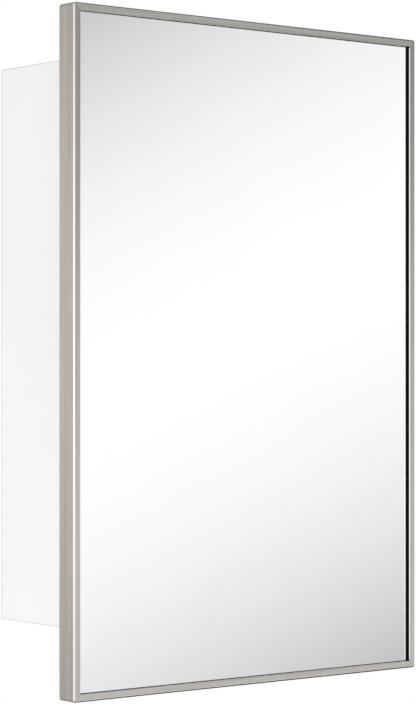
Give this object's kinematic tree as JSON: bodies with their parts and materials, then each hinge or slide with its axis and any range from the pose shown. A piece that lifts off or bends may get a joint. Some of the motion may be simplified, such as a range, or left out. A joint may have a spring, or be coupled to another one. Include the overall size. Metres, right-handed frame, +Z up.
{
  "type": "medicine cabinet with mirror",
  "caption": "Wall-hung bathroom cabinet: a shallow white box behind a larger mirror door in a slim brushed metal frame, with loose glass shelves.",
  "frame": {"origin": "centre of the box's rear face, on the wall plane", "axes": "+X to the right of someone facing the mirror, +Y into the wall, +Z up"},
  "size_m": [0.406, 0.1474, 0.61],
  "materials": {
    "white_lacquer": "white satin lacquer on fibreboard",
    "brushed_nickel": "brushed along its length",
    "zinc_plate": "bright zinc plate",
    "silvered_glass": "polished",
    "shelf_glass": "clear with ground edges",
    "black_rubber": "matt",
    "white_plastic": "moulded",
    "magnet_steel": "plated",
    "foam_tape": "foam",
    "clear_buffer": "soft and clear"
  },
  "bodies": {
    "cabinet": {"side_panel_left": "white_lacquer", "side_panel_right": "white_lacquer", "top_panel": "white_lacquer", "bottom_panel": "white_lacquer", "back_panel": "white_lacquer", "screw_cap_1": "white_plastic", "screw_cap_2": "white_plastic", "screw_cap_3": "white_plastic", "screw_cap_4": "white_plastic", "shelf_pin_1_left_front": "zinc_plate", "shelf_pin_1_left_rear": "zinc_plate", "shelf_pin_1_right_front": "zinc_plate", "shelf_pin_1_right_rear": "zinc_plate", "shelf_pin_2_left_front": "zinc_plate", "shelf_pin_2_left_rear": "zinc_plate", "shelf_pin_2_right_front": "zinc_plate", "shelf_pin_2_right_rear": "zinc_plate", "shelf_pin_3_left_front": "zinc_plate", "shelf_pin_3_left_rear": "zinc_plate", "shelf_pin_3_right_front": "zinc_plate", "shelf_pin_3_right_rear": "zinc_plate", "hinge_leaf_cabinet": "zinc_plate", "hinge_pin": "zinc_plate", "hinge_screw_cabinet_1": "zinc_plate", "hinge_screw_cabinet_2": "zinc_plate", "hinge_screw_cabinet_3": "zinc_plate", "hinge_screw_cabinet_4": "zinc_plate", "catch_housing": "white_plastic", "catch_magnet": "magnet_steel", "catch_screw_1": "zinc_plate", "catch_screw_2": "zinc_plate"},
    "door": {"frame_bar_left": "brushed_nickel", "frame_bar_right": "brushed_nickel", "frame_bar_top": "brushed_nickel", "frame_bar_bottom": "brushed_nickel", "corner_bracket_top_left": "zinc_plate", "corner_bracket_top_right": "zinc_plate", "corner_bracket_bottom_left": "zinc_plate", "corner_bracket_bottom_right": "zinc_plate", "mirror_gasket": "black_rubber", "mirror_glass": "silvered_glass", "mirror_tape_left": "foam_tape", "mirror_tape_right": "foam_tape", "door_core": "white_lacquer", "hinge_leaf_door": "zinc_plate", "hinge_screw_door_1": "zinc_plate", "hinge_screw_door_2": "zinc_plate", "hinge_screw_door_3": "zinc_plate", "hinge_screw_door_4": "zinc_plate", "strike_plate": "zinc_plate", "strike_screw_1": "zinc_plate", "strike_screw_2": "zinc_plate", "door_buffer_top": "clear_buffer", "door_buffer_bottom": "clear_buffer"},
    "shelf_1": {"glass_shelf_1": "shelf_glass"},
    "shelf_2": {"glass_shelf_2": "shelf_glass"},
    "shelf_3": {"glass_shelf_3": "shelf_glass"}
  },
  "joints": [
    {"name": "door_hinge", "type": "hinge", "parent": "cabinet", "child": "door", "pos_m": [0.185, -0.1228, 0], "axis": [0, 0, 1], "range_deg": [0, 105]},
    {"name": "shelf_lift_1", "type": "slide", "parent": "cabinet", "child": "shelf_1", "axis": [0, 0, 1], "range_m": [0, 0.1001]},
    {"name": "shelf_lift_2", "type": "slide", "parent": "cabinet", "child": "shelf_2", "axis": [0, 0, 1], "range_m": [0, 0.1001]},
    {"name": "shelf_lift_3", "type": "slide", "parent": "cabinet", "child": "shelf_3", "axis": [0, 0, 1], "range_m": [0, 0.1001]}
  ]
}
